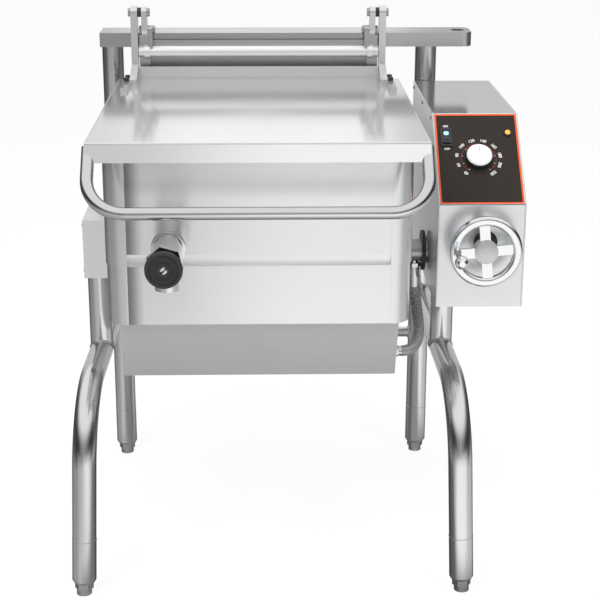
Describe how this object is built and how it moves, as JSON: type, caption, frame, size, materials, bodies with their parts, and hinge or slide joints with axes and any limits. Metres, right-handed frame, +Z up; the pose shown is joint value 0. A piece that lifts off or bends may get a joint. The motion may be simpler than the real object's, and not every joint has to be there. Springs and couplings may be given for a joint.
{
  "type": "tilting bratt pan",
  "caption": "Tilting bratt pan on an open tubular stand: deep jacketed vessel with hinged lid and bow handle, draw-off valve, side console with worm-gear handwheel.",
  "frame": {"origin": "on the floor, under the middle of the whole machine's box", "axes": "+X to the right of the operator who stands in front, +Y to the rear, +Z up"},
  "size_m": [0.9567, 0.9876, 1.157],
  "materials": {
    "stainless_tube": "satin brushed stainless tube",
    "stainless_sheet": "brushed stainless sheet",
    "stainless_polished": "polished stainless",
    "cooking_steel": "ground stainless cooking vessel",
    "dark_steel": "dull machined steel",
    "cast": "grey cast iron",
    "bronze": "bearing bronze",
    "black_plastic": "black moulded plastic",
    "white_plastic": "white moulded plastic",
    "panel_laminate": "near-black printed laminate",
    "amber_lens": "amber lens",
    "grey_plastic": "grey electrical plastic",
    "conduit_jacket": "grey ribbed conduit jacket",
    "board": "mineral fibre board"
  },
  "bodies": {
    "stand": {"left_front_leg": "stainless_tube", "right_front_leg": "stainless_tube", "left_rear_leg": "stainless_tube", "right_rear_leg": "stainless_tube", "uprights": "stainless_tube", "leg_sleeves": "stainless_tube", "levelling_feet": "dark_steel", "cross_tube": "stainless_tube", "rear_beam": "stainless_sheet", "bearing_blocks": "cast", "bearing_bushes": "bronze", "left_bearing_cover": "stainless_sheet", "gear_bracket": "dark_steel", "worm_bushes": "bronze", "console_housing": "stainless_sheet", "console_side_cover": "stainless_sheet", "console_base_plate": "stainless_sheet", "console_saddle": "dark_steel", "control_panel": "panel_laminate", "switch_bezel": "black_plastic", "indicator_lamp": "amber_lens", "thermostat_body": "grey_plastic", "contactor": "grey_plastic", "terminal_block": "white_plastic", "shaft_grommet": "black_plastic"},
    "pan": {"pan_vessel": "cooking_steel", "upper_jacket": "stainless_sheet", "lower_jacket": "stainless_sheet", "heater_cover": "stainless_sheet", "cover_plug": "stainless_sheet", "heating_elements": "dark_steel", "insulation_board": "board", "left_trunnion": "dark_steel", "right_trunnion": "dark_steel", "flange_bolts": "dark_steel", "trunnion_collar": "black_plastic", "worm_wheel": "bronze", "flexible_conduit": "conduit_jacket", "conduit_fittings": "stainless_polished", "valve_body": "stainless_polished", "valve_bonnet": "stainless_polished", "hinge_brackets": "stainless_polished", "torsion_tube": "stainless_polished", "torsion_collars": "stainless_polished", "hinge_links": "stainless_polished", "link_bolts": "dark_steel"},
    "lid": {"lid": "stainless_sheet", "lid_handle": "stainless_polished", "lid_rail": "stainless_sheet", "hinge_arms": "stainless_polished", "arm_bolts": "dark_steel", "hinge_pins": "dark_steel", "hinge_washers": "black_plastic"},
    "handwheel": {"handwheel": "stainless_tube", "worm_shaft": "dark_steel"},
    "crank_knob": {"crank_knob": "stainless_polished"},
    "thermostat_knob": {"thermostat_knob": "white_plastic"},
    "rocker": {"rocker_switch": "black_plastic"},
    "valve_stem": {"valve_stem": "dark_steel"},
    "valve_knob": {"valve_knob": "black_plastic"}
  },
  "joints": [
    {"name": "pan_tilt", "type": "hinge", "parent": "stand", "child": "pan", "pos_m": [-0.0496, 0.0112, 0.663], "axis": [1, 0, 0], "range_deg": [0, 90]},
    {"name": "handwheel_turn", "type": "hinge", "parent": "stand", "child": "handwheel", "pos_m": [0.3904, -0.2388, 0.731], "axis": [0, 1, 0], "range_deg": [0, 3600]},
    {"name": "crank_knob_spin", "type": "hinge", "parent": "handwheel", "child": "crank_knob", "pos_m": [0.33266, -0.2388, 0.72544], "axis": [0, 1, 0], "continuous": true},
    {"name": "lid_hinge", "type": "hinge", "parent": "pan", "child": "lid", "pos_m": [-0.0756, 0.3732, 1.142], "axis": [-1, 0, 0], "range_deg": [0, 84]},
    {"name": "thermostat_turn", "type": "hinge", "parent": "stand", "child": "thermostat_knob", "pos_m": [0.3874, -0.10862, 0.90052], "axis": [0, 0.6876, -0.7261], "range_deg": [0, 300]},
    {"name": "rocker_press", "type": "hinge", "parent": "stand", "child": "rocker", "pos_m": [0.3224, -0.06565, 0.93295], "axis": [1, 0, 0], "range_deg": [0, 16]},
    {"name": "valve_stem_slide", "type": "slide", "parent": "pan", "child": "valve_stem", "axis": [0, -1, 0], "range_m": [0, 0.01]},
    {"name": "valve_knob_turn", "type": "hinge", "parent": "valve_stem", "child": "valve_knob", "pos_m": [-0.2541, -0.3968, 0.7705], "axis": [0, -1, 0], "range_deg": [0, 720]}
  ],
  "couplings": [
    {"joint": "handwheel_turn", "follows": "pan_tilt", "ratio": 40},
    {"joint": "valve_knob_turn", "follows": "valve_stem_slide", "rad_per_m": 1256.6}
  ]
}
